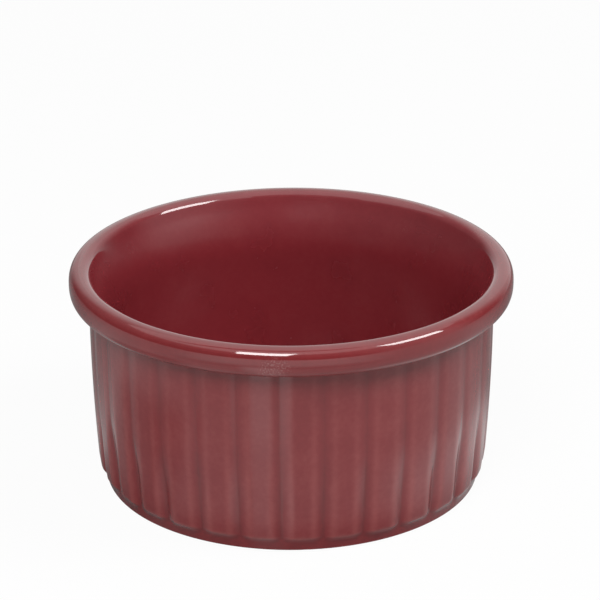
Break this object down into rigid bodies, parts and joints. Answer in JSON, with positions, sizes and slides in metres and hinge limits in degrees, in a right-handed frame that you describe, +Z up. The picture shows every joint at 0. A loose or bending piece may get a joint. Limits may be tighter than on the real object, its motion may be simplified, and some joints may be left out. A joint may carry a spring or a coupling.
{
  "type": "ramekin",
  "caption": "Round stoneware baking dish with a fluted upright wall, a rolled rim, a flared mouth and a bare foot ring, glazed in glossy burgundy.",
  "frame": {"origin": "middle of the foot ring's standing face, on the surface the ramekin stands on", "axes": "+Z up, along the ramekin's axis out of the bowl; -Y is the middle of a wall panel"},
  "size_m": [0.1, 0.1, 0.0507],
  "materials": {
    "stoneware_bisque": "bare fired stoneware, matt and slightly grainy, showing only on the foot ring",
    "burgundy_glaze": "glossy burgundy glaze that thins to a paler mauve on the edges of rim and panels",
    "burgundy_liner_glaze": "glossy dark burgundy glaze of the bowl, more saturated than the outside"
  },
  "bodies": {
    "root": {"stoneware_body": "stoneware_bisque", "outside_glaze": "burgundy_glaze", "inside_glaze": "burgundy_liner_glaze", "underside_glaze": "burgundy_glaze"}
  },
  "joints": []
}
